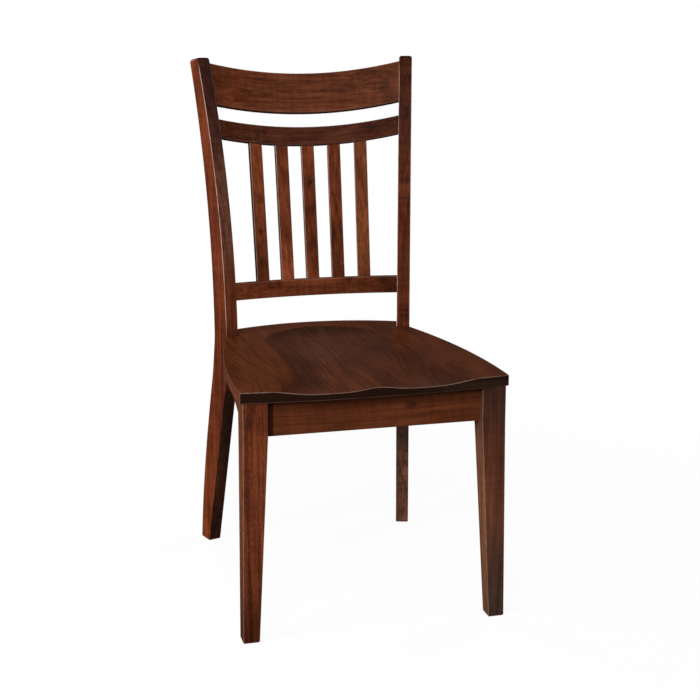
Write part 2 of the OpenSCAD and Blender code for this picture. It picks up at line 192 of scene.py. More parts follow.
grain = {
    "ringSpacing": 0.0090,
    # Features per metre, twice across the fibres and once along them
    "drift": (5, 5, 2.2),
    "wobble": (90, 90, 14),
    "fibres": (170, 170, 4.5),
    "fineFibres": (1000, 1000, 24),
    "pores": (800, 800, 60),
    "flecks": (430, 430, 105),
    "blotches": (20, 20, 7),
    "curl": (24, 24, 105),       # bars of curly figure that lie across the grain
    "knots": (13, 13, 6),
    "driftReach": 0.016,         # how far the growth rings drift over the length of a board
    "wobbleReach": 0.0022,
    "ringRise": (0.30, 0.92),    # where in a ring its late wood darkens, and where it ends
    "ringLift": 0.15,            # this share of the rings is paler than the wood, not darker
    "poreLevels": (0.64, 0.76),
    "fleckLevels": (0.58, 0.70),
    "knotNear": (0.05, 0.27),
    "knotless": 0.6,             # share of the places for a knot that stay without one
    # How much each part of the figure counts
    "fibreShare": 1.05,
    "fineShare": 0.40,
    "blotchShare": 0.85,
    "ringShare": 0.30,
    "poreShare": 0.12,
    "knotShare": 0.7,
    "plainTone": 0.52,
    "darkShare": (0.42, 0.46, 0.55),
    "lightShare": (1.62, 1.80, 1.85),
    # Relief
    "fibreRelief": 0.5,
    "fineRelief": 0.35,
    "poreRelief": 0.5,
}


def makeGrain():
    group, given, out = newGroup(
        "stainedGrain",
        ("Vector", "Stain", "Figure", "Rings", "Streaks", "Curl", "Knots", "Flecks", "Drift"),
        ("Color", "Height", "Cloud"),
    )

    def share(value, amount):
        return times(group, minus(group, value, 0.5), amount)

    place = given["Vector"]
    drifted = wander(group, place, grain["drift"], grain["driftReach"], detail=1.0)
    drifted = vectorMaths(group, "SCALE", drifted, given["Drift"])
    wobbled = wander(group, place, grain["wobble"], grain["wobbleReach"])
    moved = vectorMaths(group, "ADD", vectorMaths(group, "ADD", place, drifted), wobbled)

    flat = vectorMaths(group, "MULTIPLY", moved, (1, 1, 0))
    radius = maths(group, "DIVIDE", vectorMaths(group, "LENGTH", flat), grain["ringSpacing"])
    phase = maths(group, "FRACT", radius)
    rise = remap(group, phase, *grain["ringRise"])
    fall = remap(group, phase, grain["ringRise"][1], 1.0, 1.0, 0.0)
    pick = addNode(group, "ShaderNodeTexWhiteNoise", noise_dimensions="1D")
    feed(group, pick.inputs["W"], maths(group, "FLOOR", radius))
    ringTone = minus(group, pick.outputs["Value"], grain["ringLift"])
    ringShade = times(group, rise, fall, ringTone, times(group, given["Rings"], grain["ringShare"]))

    fibres = noise(group, moved, grain["fibres"], detail=4.0, rough=0.68)
    fine = noise(group, place, grain["fineFibres"], rough=0.6)
    pores = remap(group, noise(group, place, grain["pores"], detail=1.0), *grain["poreLevels"])
    flecks = remap(group, noise(group, place, grain["flecks"], detail=1.0), *grain["fleckLevels"])
    blotches = noise(group, place, grain["blotches"], detail=3.0, rough=0.55)
    curl = noise(group, moved, grain["curl"], detail=1.5)

    knotCells = addNode(group, "ShaderNodeTexVoronoi", voronoi_dimensions="3D", feature="F1")
    feed(group, knotCells.inputs["Vector"], vectorMaths(group, "MULTIPLY", moved, grain["knots"]))
    feed(group, knotCells.inputs["Scale"], 1.0)
    knotNear = remap(group, knotCells.outputs["Distance"], *grain["knotNear"], 1.0, 0.0)
    knotPick = addNode(group, "ShaderNodeSeparateColor")
    feed(group, knotPick.inputs[0], knotCells.outputs["Color"])
    knotChosen = maths(group, "GREATER_THAN", knotPick.outputs[0], grain["knotless"])
    knot = times(group, knotNear, knotChosen, given["Knots"])

    tone = plus(group, share(fibres, grain["fibreShare"]), share(fine, grain["fineShare"]))
    tone = times(group, tone, given["Streaks"])
    tone = plus(group, tone, share(blotches, grain["blotchShare"]))
    tone = plus(group, tone, share(curl, given["Curl"]))
    tone = times(group, minus(group, tone, ringShade), given["Figure"])
    tone = minus(group, tone, times(group, pores, grain["poreShare"]))
    tone = plus(group, tone, times(group, flecks, given["Flecks"]))
    tone = minus(group, tone, times(group, knot, grain["knotShare"]))
    tone = plus(group, tone, grain["plainTone"], clamp=True)

    dark = vectorMaths(group, "MULTIPLY", given["Stain"], grain["darkShare"])
    light = vectorMaths(group, "MULTIPLY", given["Stain"], grain["lightShare"])
    colour = mixColour(group, remap(group, tone, 0.0, 0.5, smooth=False), dark, given["Stain"])
    colour = mixColour(group, remap(group, tone, 0.5, 1.0, smooth=False), colour, light)
    feed(group, out["Color"], colour)

    height = times(group, fibres, grain["fibreRelief"])
    height = plus(group, height, times(group, fine, grain["fineRelief"]))
    feed(group, out["Height"], minus(group, height, times(group, pores, grain["poreRelief"])))
    feed(group, out["Cloud"], minus(group, blotches, 0.5))
    return group


# What happens to the colour: end grain, length, faces, marks, and rubbed edges with a painted highlight

effects = {
    "endStain": (0.011, 0.0045, 0.0027, 1),
    "faceTurn": (0.45, 0.85),        # how squarely a face has to look along the way to be tinted
    "markKnotAndShade": (0.016, 0.007, 0.005, 1),
    "markRagged": (120, 120, 120),   # features per metre, as in the grain
    "markReach": 0.008,
    "markStreaks": (260, 260, 260),
    "markStreakLevels": (0.3, 0.7, 0.55, 1.0),
    "markFade": (0.1, 1.0, 1.0, 0.0),
    # The rubbed edges' paler colour, which also serves as a painted highlight
    "rubbedAndHighlightColour": (0.40, 0.24, 0.19, 1),
    "rubbedPatches": (45, 45, 45),
    "rubbedLevels": (0.30, 0.60, 0.55, 1.0),
}


def squarely(group, way):
    # One where a face looks along the way or against it, nothing where it lies along the way
    where = addNode(group, "ShaderNodeTexCoord")
    return maths(group, "ABSOLUTE", vectorMaths(group, "DOT_PRODUCT", where.outputs["Normal"], way))


# End grain drinks more stain, so it is darker. Grain is the direction of the fibres.

def makeEndGrain():
    group, given, out = newGroup("endGrain", ("Color", "Grain", "From", "Full", "Darkness"))
    reached = remap(group, squarely(group, given["Grain"]), given["From"], given["Full"])
    mask = times(group, reached, given["Darkness"])
    feed(group, out["Color"], mixColour(group, mask, given["Color"], effects["endStain"]))
    return group


# A board's colour is made lighter or darker towards its ends

lengthInputs = ("Color", "Along", "Start", "Middle", "End", "First", "Second", "Third")


def makeLengthTone():
    group, given, out = newGroup("lengthTone", lengthInputs)
    along = given["Along"]
    near = remap(group, along, given["Start"], given["Middle"], given["First"], given["Second"])
    far = remap(group, along, given["Middle"], given["End"])
    change = times(group, far, minus(group, given["Third"], given["Second"]))
    tone = plus(group, near, change)
    feed(group, out["Color"], mixColour(group, 1.0, given["Color"], tone, "MULTIPLY"))
    return group


# One pair of a board's faces is tinted lighter or darker, all along or over one stretch

def makeFaceTone():
    # Without a stretch of its own the tint runs all along
    group, given, out = newGroup(
        "faceTone", ("Color", "Facing", "Tint", "Along", "From", "Full"),
        Along=1.0, From=-1.0, Full=0.0,
    )
    stretch = remap(group, given["Along"], given["From"], given["Full"])
    turned = remap(group, squarely(group, given["Facing"]), *effects["faceTurn"])
    mask = times(group, turned, stretch)
    feed(group, out["Color"], mixColour(group, mask, given["Color"], given["Tint"], "MULTIPLY"))
    return group


# A knot, a dark mottle or a paler patch at a given place; the same mark also paints shade and light on
# some pieces

def makeKnotAndShadeMark():
    group, given, out = newGroup(
        "knotAndShadeMark", ("Color", "Vector", "Place", "Size", "Darkness", "Mark"), Mark=effects["markKnotAndShade"],
    )
    ragged = wander(group, given["Vector"], effects["markRagged"], effects["markReach"])
    away = vectorMaths(group, "SUBTRACT", given["Vector"], given["Place"])
    away = vectorMaths(group, "ADD", away, ragged)
    distance = vectorMaths(group, "LENGTH", vectorMaths(group, "DIVIDE", away, given["Size"]))
    streaks = noise(group, away, effects["markStreaks"])
    streaks = remap(group, streaks, *effects["markStreakLevels"])
    near = remap(group, distance, *effects["markFade"])
    mask = times(group, near, streaks, given["Darkness"])
    feed(group, out["Color"], mixColour(group, mask, given["Color"], given["Mark"]))
    return group


# Eased edges are painted paler: partly rubbed through the stain, partly a painted highlight of the
# lamps, strongest on the arrises turned the highlight way. They are polished by hands.

def makeRubbedEdgeAndHighlight():
    group, given, out = newGroup("rubbedEdgeAndHighlight", ("Color", "Strength", "Vector"), ("Color", "Mask"))
    edge = addNode(group, "ShaderNodeAttribute", attribute_name="arris")
    patchy = noise(group, given["Vector"], effects["rubbedPatches"])
    patchy = remap(group, patchy, *effects["rubbedLevels"])
    mask = times(group, edge.outputs["Fac"], patchy, given["Strength"])
    feed(group, out["Color"], mixColour(group, mask, given["Color"], effects["rubbedAndHighlightColour"]))
    feed(group, out["Mask"], mask)
    return group


grainGroup = makeGrain()
endGroup = makeEndGrain()
lengthGroup = makeLengthTone()
faceGroup = makeFaceTone()
knotAndShadeGroup = makeKnotAndShadeMark()
edgeGroup = makeRubbedEdgeAndHighlight()
print("shared wood groups built")


# Each finish is the same stain on another board. Along is the way its fibres run, with the turn
# that brings them onto Z.

lays = {
    "X": ((1, 0, 0), (0, math.radians(-90), 0)),
    "Y": ((0, 1, 0), (math.radians(90), 0, 0)),
    "Z": ((0, 0, 1), (0, 0, 0)),
}

# What a board looks like where its own dictionary says nothing else
plainLook = {
    "along": "Z",
    "pith": (0.05, 0.09, 0.0),
    "figure": 1.0,
    "rings": 1.0,
    "streaks": 1.0,
    "curl": 0.4,
    "knots": 0.3,
    "flecks": 0.1,
    "drift": 1.0,
    "faces": (),                       # direction, tint and perhaps its stretch
    "ends": ((0.45, 0.95, 0.75),),     # from, full, darkness
    "marks": (),                       # place, size, darkness and perhaps a paler colour
    "rubAndHighlight": 0.5,
    "rough": 0.42,
    "lacquer": 0.03,
    "polish": 0.35,                    # how much more the rubbed edges shine
}
coat = {
    "roughSpread": 0.25,
    "lacquerSpread": -0.03,
    "rough": 0.30,
    "bump": 0.35,
    "bumpDepth": 0.0006,
}


def gluedBoards(tree, across, board, look):
    # Boards side by side across X, each from another part of the tree
    across = plus(tree, across, look["boardShift"])
    number = maths(tree, "FLOOR", maths(tree, "DIVIDE", across, look["boardWidth"]))
    pick = addNode(tree, "ShaderNodeTexWhiteNoise", noise_dimensions="1D")
    feed(tree, pick.inputs["W"], plus(tree, number, look["boardPick"]))
    shift = vectorMaths(tree, "MULTIPLY", pick.outputs["Color"], look["boardReach"])
    centre = times(tree, plus(tree, number, 0.5), -look["boardWidth"])
    middle = addNode(tree, "ShaderNodeCombineXYZ")
    feed(tree, middle.inputs["X"], plus(tree, centre, look["boardShift"]))
    board = vectorMaths(tree, "ADD", vectorMaths(tree, "ADD", board, shift), middle.outputs[0])
    low, high = look["boardTones"]
    return board, remap(tree, pick.outputs["Value"], 0.0, 1.0, low, high, smooth=False)


def boardGrain(tree, place, axes, look):
    # The grain's outputs, and its colour with each glued board's own tone
    lay = addNode(tree, "ShaderNodeMapping")
    feed(tree, lay.inputs["Vector"], place)
    feed(tree, lay.inputs["Rotation"], lays[look["along"]][1])
    feed(tree, lay.inputs["Location"], look["pith"])
    board = lay.outputs["Vector"]
    glued = "boardWidth" in look
    if glued:
        board, boardTone = gluedBoards(tree, axes["X"], board, look)
    strengths = ("figure", "rings", "streaks", "curl", "knots", "flecks", "drift")
    fibres = placeGroup(
        tree, grainGroup, Vector=board, Stain=(*look["stain"], 1),
        **{strength.capitalize(): look[strength] for strength in strengths},
    )
    if glued:
        return fibres, mixColour(tree, 1.0, fibres["Color"], boardTone, "MULTIPLY")
    return fibres, fibres["Color"]


def tintBoard(tree, place, axes, look, colour):
    # What the stain did at its ends, and the colour made lighter or darker along the board, on its
    # faces and in single places, some of it painted shade and light
    if "tones" in look:
        axis, places, shares = look["tones"]
        tones = dict(zip(lengthInputs, (colour, axes[axis], *places, *shares)))
        colour = placeGroup(tree, lengthGroup, **tones)["Color"]
    for facing, tint, *stretch in look["faces"]:
        reach = {}
        if stretch:
            axis, start, full = stretch[0]
            reach = {"Along": axes[axis], "From": start, "Full": full}
        colour = placeGroup(
            tree, faceGroup, Color=colour, Facing=facing, Tint=(*tint, 1), **reach,
        )["Color"]
    for start, full, darkness in look["ends"]:
        colour = placeGroup(
            tree, endGroup, Color=colour, Grain=lays[look["along"]][0],
            From=start, Full=full, Darkness=darkness,
        )["Color"]
    for spot, size, darkness, *paler in look["marks"]:
        own = {"Mark": (*paler[0], 1)} if paler else {}
        colour = placeGroup(
            tree, knotAndShadeGroup, Color=colour, Vector=place,
            Place=spot, Size=size, Darkness=darkness, **own,
        )["Color"]
    return colour


def woodFinish(name, ownLook):
    look = {**plainLook, **ownLook}
    material, tree, surface = newMaterial(name)
    place = addNode(tree, "ShaderNodeTexCoord").outputs["Object"]
    split = addNode(tree, "ShaderNodeSeparateXYZ")
    feed(tree, split.inputs[0], place)
    fibres, colour = boardGrain(tree, place, split.outputs, look)
    colour = tintBoard(tree, place, split.outputs, look, colour)
    # Rubbed edges: paler wear and a painted highlight of the lamps on the arrises
    edge = placeGroup(tree, edgeGroup, Color=colour, Strength=look["rubAndHighlight"], Vector=place)
    feed(tree, surface["Base Color"], edge["Color"])
    gloss = maths(tree, "MULTIPLY_ADD", fibres["Cloud"], coat["roughSpread"], look["rough"])
    feed(tree, surface["Roughness"], gloss)
    feed(tree, surface["Specular IOR Level"], 0.0)
    lacquer = maths(tree, "MULTIPLY_ADD", fibres["Cloud"], coat["lacquerSpread"], look["lacquer"])
    lacquer = maths(tree, "MULTIPLY_ADD", edge["Mask"], look["polish"], lacquer, clamp=True)
    feed(tree, surface["Coat Weight"], lacquer)
    feed(tree, surface["Coat Roughness"], coat["rough"])
    bump = addNode(tree, "ShaderNodeBump")
    feed(tree, bump.inputs["Strength"], coat["bump"])
    feed(tree, bump.inputs["Distance"], coat["bumpDepth"])
    feed(tree, bump.inputs["Height"], fibres["Height"])
    feed(tree, surface["Normal"], bump.outputs["Normal"])
    return material


# Steel screws, brushed and slightly dulled

screw = {
    "dulled": (900, 900, 900),
    "steels": ((0.42, 0.41, 0.38, 1), (0.62, 0.61, 0.58, 1)),
    "rough": (0.2, 0.8, 0.28, 0.5),
}


def screwFinish():
    material, tree, surface = newMaterial("screwSteel")
    where = addNode(tree, "ShaderNodeTexCoord")
    dull = noise(tree, where.outputs["Object"], screw["dulled"])
    feed(tree, surface["Base Color"], mixColour(tree, dull, *screw["steels"]))
    feed(tree, surface["Roughness"], remap(tree, dull, *screw["rough"]))
    feed(tree, surface["Metallic"], 1.0)
    return material


# Mesh helpers: every one starts with nothing selected

meshWork = {
    "merge": 0.00002,
    "flat": 0.6,            # degrees: faces that turn less than this are made one face
    "sharp": 32,            # edges that turn less than this stay as they are
    "border": 50,           # an eased face runs smoothly into a flat one below this
    "smooth": 40,
    "shadeWeight": 90,
    "shortest": 0.006,      # shorter edges belong to a curved end, and aren't an arris
    "upright": 0.8,         # cosine of the turn away from a direction, here and below
    "raked": 0.7,
    "closely": 0.9,
}
highlightWay = (-0.45, -0.75, 0.48)      # the arrises turned this way get the most painted highlight, as from lamps to the left and in front, and the most rubbing
everyHeight = (-1.0, 9.0)


def selectOnly(item):
    bpy.ops.object.select_all(action="DESELECT")
    item.select_set(True)
    bpy.context.view_layer.objects.active = item


def weightEdges(piece, rule):
    # Rule takes an edge's two ends and the normals of its two faces, and gives a bevel weight
    solid = bmesh.new()
    solid.from_mesh(piece.data)
    layers = solid.edges.layers.float
    layer = layers.get("bevel_weight_edge") or layers.new("bevel_weight_edge")
    for edge in solid.edges:
        weight = 0.0
        if len(edge.link_faces) == 2 and edge.calc_face_angle(0) > math.radians(meshWork["sharp"]):
            ends = (point.co for point in edge.verts)
            weight = rule(*ends, *(face.normal for face in edge.link_faces))
        edge[layer] = weight
    solid.to_mesh(piece.data)
    solid.free()


def newGrid(name, columns, rows, **settings):
    bpy.ops.object.select_all(action="DESELECT")
    bpy.ops.mesh.primitive_grid_add(x_subdivisions=columns, y_subdivisions=rows, size=1, **settings)
    piece = bpy.context.active_object
    piece.name = name
    return piece


def thicken(offset):
    # Makes a solid of the whole sheet that is in edit mode, and leaves that mode
    bpy.ops.mesh.select_all(action="SELECT")
    bpy.ops.mesh.extrude_region_move(TRANSFORM_OT_translate={"value": offset})
    bpy.ops.mesh.select_all(action="SELECT")
    bpy.ops.mesh.normals_make_consistent(inside=False)
    bpy.ops.object.mode_set(mode="OBJECT")


def easedPoints(mesh):
    # The points of the eased faces, without those on the border to a flat face
    solid = bmesh.new()
    solid.from_mesh(mesh)
    eased, border = set(), set()
    for face in solid.faces:
        if face.material_index == 1:
            eased.update(point.index for point in face.verts)
    for edge in solid.edges:
        kinds = {face.material_index for face in edge.link_faces}
        if kinds == {0, 1} and edge.calc_face_angle(0) < math.radians(meshWork["border"]):
            border.update(point.index for point in edge.verts)
    solid.free()
    return eased - border


def easeEdges(piece, width, rounds=3, way=highlightWay, leastTurn=-1.2, heights=everyHeight):
    # The eased faces come out with the second material, and their inner points are marked as arris, for
    # rubbing and a painted highlight:
    # fully where they are turned the highlight way, and not at all from least turn (a cosine) down
    selectOnly(piece)
    mesh = piece.data
    mesh.materials.clear()
    mesh.materials.append(None)
    mesh.materials.append(None)
    ease = piece.modifiers.new("ease", "BEVEL")
    ease.limit_method = "WEIGHT"
    ease.width = width
    ease.segments = rounds
    ease.use_clamp_overlap = False
    ease.material = 1
    bpy.ops.object.modifier_apply(modifier=ease.name)
    inner = easedPoints(mesh)
    arris = mesh.attributes.new("arris", "FLOAT", "POINT")
    for point in mesh.vertices:
        towards = (point.normal.dot(Vector(way)) - leastTurn) / (1 - leastTurn)
        rubbedAndLit = point.index in inner and heights[0] < point.co.z < heights[1]
        arris.data[point.index].value = max(towards, 0.0) if rubbedAndLit else 0.0
    mesh.materials.clear()


def finishShading(piece):
    selectOnly(piece)
    bpy.ops.object.shade_smooth_by_angle(angle=math.radians(meshWork["smooth"]))
    weigh = piece.modifiers.new("weigh", "WEIGHTED_NORMAL")
    weigh.weight = meshWork["shadeWeight"]
    weigh.keep_sharp = True
    bpy.ops.object.modifier_apply(modifier=weigh.name)


def dress(piece, node, material):
    piece.data.materials.clear()
    piece.data.materials.append(material)
    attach(piece, "root")
    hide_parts(node)


def copyNode(node, name):
    selectOnly(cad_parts[node])
    bpy.ops.object.duplicate()
    piece = bpy.context.active_object
    piece.name = name
    bpy.ops.mesh.customdata_custom_splitnormals_clear()
    bpy.ops.object.mode_set(mode="EDIT")
    bpy.ops.mesh.select_all(action="SELECT")
    bpy.ops.mesh.remove_doubles(threshold=meshWork["merge"])
    bpy.ops.mesh.dissolve_limited(angle_limit=math.radians(meshWork["flat"]))
    bpy.ops.object.mode_set(mode="OBJECT")
    return piece


# Straight pieces, the front legs, aprons and slats, are copies with their arrises eased

def easedPiece(node, name, along, width, ends=None, endWidth=0.0, way=highlightWay):
    # Along is the direction of the arrises. Ends picks the end edges that are eased as well.
    piece = copyNode(node, name)
    axis = Vector(along)
    widest = max(width, endWidth)

    def rule(first, second, normalA, normalB):
        run = second - first
        if ends and ends(first) and ends(second):
            return endWidth / widest
        straight = abs(run.normalized().dot(axis)) > meshWork["upright"]
        return width / widest if straight and run.length > meshWork["shortest"] else 0.0

    weightEdges(piece, rule)
    easeEdges(piece, widest, way=way)
    finishShading(piece)
    return piece


floorReach = 0.001      # ends nearer the floor than this are feet


def atFloor(point):
    return point.z < floorReach


# Front legs

frontLeg = {
    "ease": 0.0018,
    "footEase": 0.0035,
    "highlightWay": (0.35, -0.90, 0.0),
    "figure": 1.4,
    "rings": 0.6,
    "knots": 0.15,
    "rubAndHighlight": 0.35,
    "left": {
        "stain": (0.132, 0.0305, 0.0118),
        "curl": 0.30,
        "streaks": 1.6,
        "flecks": 0.5,
        "pith": (0.31, 0.33, 0.2),
        "tones": ("Z", (0.0, 0.20, 0.42), (0.44, 1.0, 0.93)),
        "faces": [((1, 0, 0), (0.88, 1.13, 1.0))],
        "marks": [((-0.2265, -0.279, 0.402), (0.010, 0.08, 0.022), 0.6)],
    },
    "right": {
        "stain": (0.119, 0.038, 0.0197),
        "curl": 0.25,
        "streaks": 0.9,
        "pith": (-0.18, 0.36, 0.5),
        "tones": ("Z", (0.0, 0.22, 0.44), (0.60, 1.0, 0.55)),
        "faces": [((1, 0, 0), (1.3, 1.55, 1.4)),
                  ((0, 1, 0), (0.70, 1.05, 1.35), ("Z", 0.24, 0.04)),
                  ((0, 1, 0), (0.78, 0.94, 1.15), ("Z", 0.30, 0.42))],
    },
}


for side in ("left", "right"):
    name = f"front_leg_{side}"
    leg = easedPiece(
        name, f"frontLeg.{side}", (0, 0, 1), frontLeg["ease"],
        ends=atFloor, endWidth=frontLeg["footEase"], way=frontLeg["highlightWay"],
    )
    legLook = {**frontLeg, **frontLeg[side]}
    dress(leg, name, woodFinish(f"legWood.{side}", legLook))
print("front legs eased")


# Back posts: their top ends are rounded over, their sawn front and rear faces are darker

def curlBars(bars):
    # Bars of curl across the right post: each one's height, half thickness, strength and colour
    return [((0.19, 0.19, height), (0.09, 0.20, thick), *rest) for height, thick, *rest in bars]


paleBar = (0.16, 0.050, 0.019)
backPost = {
    "ease": 0.0013,
    "topEase": 0.0055,
    "topReach": 0.012,         # the rounding takes edges that lie this far down from the top
    "topClear": 1.3,           # times the rounding, where the rubbing and painted highlight stop below the top
    "footEase": 0.0030,
    "highlightFrom": 0.462,       # below the seat the arrises get neither rubbing nor painted highlight
    "rounds": 4,
    "turn": 17.5,              # degrees that the sawn faces turn in plan
    "figure": 1.7,
    "streaks": 1.2,
    "rings": 0.6,
    "knots": 0.15,
    "rubAndHighlight": 0.95,
    "ends": ((0.30, 0.80, 0.85),),
    "left": {
        "stain": (0.097, 0.0195, 0.0065),
        "pith": (0.27, -0.05, -0.13),
        "tones": ("Z", (0.40, 0.68, 0.96), (1.0, 1.0, 1.22)),
        "curl": 0.35,
        # Each stretch of the sawn faces, and how it differs from the sides
        "sawn": [((1.15, 1.33, 1.53),), ((0.94, 1.46, 2.2), ("Z", 0.53, 0.66)),
                 ((0.38, 0.34, 0.40), ("Z", 0.74, 0.86)), ((0.56, 0.74, 0.98), ("Z", 0.44, 0.40)),
                 ((0.60, 0.62, 0.65), ("Z", 0.18, 0.04))],
        "sides": [((1.36, 1.45, 1.30), ("Z", 0.24, 0.08))],
        # Painted shade on the front of the leg under the seat
        "marks": [((-0.178, 0.190, 0.20), (0.034, 0.070, 0.40), 1.0)],
    },
    "right": {
        "stain": (0.066, 0.0136, 0.0049),
        "pith": (-0.27, -0.05, 0.13),
        "tones": ("Z", (0.38, 0.50, 0.98), (1.4, 0.90, 0.72)),
        "curl": 0.60,
        "sawn": [((1.88, 3.45, 5.3), ("Z", 0.28, 0.22)), ((0.78, 0.76, 0.76), ("Z", 0.090, 0.062)),
                 ((1.22, 1.08, 0.82), ("Z", 0.58, 0.68)), ((0.67, 0.82, 1.25), ("Z", 0.81, 0.90))],
        "sides": [],
        # Curl that shows at a few heights, and painted shade on the front of the leg below the seat
        "marks": curlBars([
            (0.885, 0.012, 0.20), (0.820, 0.018, 0.20), (0.757, 0.008, 0.40), (0.717, 0.007, 0.35),
            (0.651, 0.008, 0.5), (0.552, 0.006, 0.5), (0.490, 0.007, 0.6), (0.480, 0.006, 0.6),
            (0.470, 0.006, 0.6),
            (0.737, 0.014, 0.35, paleBar), (0.600, 0.060, 0.22, paleBar), (0.515, 0.022, 0.20, paleBar),
        ]) + [((0.200, 0.196, 0.218), (0.060, 0.034, 0.062), 0.85, (0.030, 0.029, 0.026))],
    },
}


def postPiece(side):
    sign = -1 if side == "left" else 1
    name = f"back_post_{side}"
    piece = copyNode(name, f"backPost.{side}")
    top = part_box(name)[1][2]

    def rule(first, second, normalA, normalB):
        run = second - first
        facesUp = max(normalA.z, normalB.z) > meshWork["upright"]
        if facesUp and min(first.z, second.z) > top - backPost["topReach"]:
            return 1.0
        if atFloor(first) and atFloor(second):
            return backPost["footEase"] / backPost["topEase"]
        if run.length > meshWork["shortest"] and abs(run.normalized().z) > meshWork["raked"]:
            return backPost["ease"] / backPost["topEase"]
        return 0.0

    weightEdges(piece, rule)
    rubbedAndLit = (backPost["highlightFrom"], top - backPost["topEase"] * backPost["topClear"])
    easeEdges(piece, backPost["topEase"], backPost["rounds"], heights=rubbedAndLit)
    finishShading(piece)
    look = {**backPost, **backPost[side]}
    turn = math.radians(backPost["turn"])
    sawnWay = (sign * math.sin(turn), math.cos(turn), 0)
    look["faces"] = [(sawnWay, *entry) for entry in look["sawn"]]
    look["faces"] += [((1, 0, 0), *entry) for entry in look["sides"]]
    dress(piece, name, woodFinish(f"postWood.{side}", look))


for side in ("left", "right"):
    postPiece(side)
print("back posts eased")


# Aprons

apron = {
    "ease": 0.0012,
    "stain": (0.101, 0.0260, 0.0097),
    "figure": 1.1,
    "curl": 0.4,
    "knots": 0.2,
    "rubAndHighlight": 0.2,
    "front": {
        "along": "X",
        "pith": (0.43, 0.31, 0.0),
        "tones": ("X", (-0.1830, -0.1805, 0.19), (0.30, 1.0, 1.05)),     # painted shadow of the left leg, a dark strip beside it
        "marks": [((0.067, -0.264, 0.411), (0.020, 0.03, 0.011), 0.75)],
    },
    "side": {"along": "Y", "pith": (0.1, 0.43, 0.4)},
}

front = easedPiece("front_apron", "frontApron", (1, 0, 0), apron["ease"])
frontWood = woodFinish("apronWood.front", {**apron, **apron["front"]})
dress(front, "front_apron", frontWood)

for side in ("left", "right"):
    name = f"side_apron_{side}"
    board = easedPiece(name, f"sideApron.{side}", (0, 1, 0), apron["ease"])
    sideWood = woodFinish(f"apronWood.{side}", {**apron, **apron["side"]})
    dress(board, name, sideWood)
print("aprons eased")


# Bowed rails: a straight bar is eased, then bent in plan, sawn to its smile and leant back

rails = {
    "turn": 17.5,          # degrees between a rail's end and straight across, in plan
    "intoPost": 0.006,     # how far the bent bar runs on into the posts, out of sight
    "steps": 56,
    "rows": 4,
    "ease": 0.0022,
    # Each one's right end in the middle of its front face, lean in degrees, width, thickness, smile
    "crest_rail": ((0.19172, 0.24183, 0.94753), 18.286, 0.081, 0.018, 0.014),
    "upper_back_rail": ((0.18388, 0.21697, 0.86149), 15.404, 0.037, 0.018, 0.014),
    "lower_back_rail": ((0.16721, 0.16410, 0.5420), 4.091, 0.034, 0.018, 0.0),
    "rear_apron": ((0.17022, 0.17364, 0.4045), 0.0, 0.065, 0.020, 0.0),
}


def straightBar(name, length, thick, width):
    piece = newGrid(name, rails["steps"], rails["rows"], rotation=(math.radians(90), 0, 0))
    piece.scale = (length, width, 1)
    bpy.ops.object.transform_apply(location=True, rotation=True, scale=True)
    bpy.ops.object.mode_set(mode="EDIT")
    thicken((0, thick, 0))
    return piece


def bendBar(piece, end, lean, smile):
    # The bar lies along X with its front face at Y = 0 and its middle at Z = 0
    turn = math.radians(rails["turn"])
    endX, endY, endZ = end
    bowR = endX / math.sin(turn)
    bow = bowR * (1 - math.cos(turn))
    smileR = (endX ** 2 + smile ** 2) / (2 * smile) if smile else 0
    midY = endY + bow * math.cos(lean) - smile * math.sin(lean)
    midZ = endZ - bow * math.sin(lean) - smile * math.cos(lean)
    for point in piece.data.vertices:
        x, inward, up = point.co
        back = math.sqrt((bowR + inward) ** 2 - x * x) - bowR
        if smile:
            up = smileR - math.sqrt((smileR - up) ** 2 - x * x)
        point.co = (
            x,
            midY + back * math.cos(lean) + up * math.sin(lean),
            midZ - back * math.sin(lean) + up * math.cos(lean),
        )


def railPiece(node, name, look):
    end, lean, width, thick, smile = rails[node]
    piece = straightBar(name, 2 * (end[0] + rails["intoPost"]), thick, width)

    def rule(first, second, normalA, normalB):
        return 1.0 if abs((second - first).normalized().x) > meshWork["closely"] else 0.0

    weightEdges(piece, rule)
    easeEdges(piece, rails["ease"])
    bendBar(piece, end, math.radians(lean), smile)
    finishShading(piece)
    dress(piece, node, woodFinish(f"{name}Wood", look))


railTone = {
    "along": "X",
    "ends": (),
    "figure": 1.6,
    "streaks": 1.2,
    "curl": 0.3,
    "rings": 0.5,
    "knots": 0.15,
    "rubAndHighlight": 0.2,
    "lacquer": 0.015,
}
crestTone = {
    "stain": (0.099, 0.0275, 0.0120),
    "pith": (0.0, 0.11, 0.05),
    "tones": ("X", (-0.18, 0.0, 0.17), (1.2, 1.0, 0.95)),
    "faces": [((0, 1, 0), (1.02, 0.92, 0.80), ("X", -0.05, -0.14))],
    "marks": [((0.165, 0.250, 0.938), (0.018, 0.15, 0.034), 0.60),
              ((0.060, 0.268, 0.930), (0.050, 0.15, 0.015), 0.42),
              ((0.140, 0.250, 0.966), (0.040, 0.15, 0.010), 0.50),
              ((0.040, 0.262, 0.960), (0.060, 0.15, 0.009), 0.35)],
}
upperTone = {
    "stain": (0.066, 0.0190, 0.0100),
    "pith": (0.3, 0.12, 0.05),
    "tones": ("X", (-0.18, 0.0, 0.17), (1.08, 1.03, 0.74)),
    "faces": [((0, 1, 0), (1.0, 0.95, 0.80), ("X", -0.08, -0.15)),
              ((0, 1, 0), (1.0, 0.90, 0.76), ("X", 0.08, 0.15))],
    "marks": [((-0.105, 0.235, 0.845), (0.013, 0.15, 0.022), 0.75),
              ((-0.090, 0.235, 0.852), (0.006, 0.15, 0.014), 0.65),
              ((0.132, 0.230, 0.856), (0.012, 0.15, 0.010), 0.65)],
}
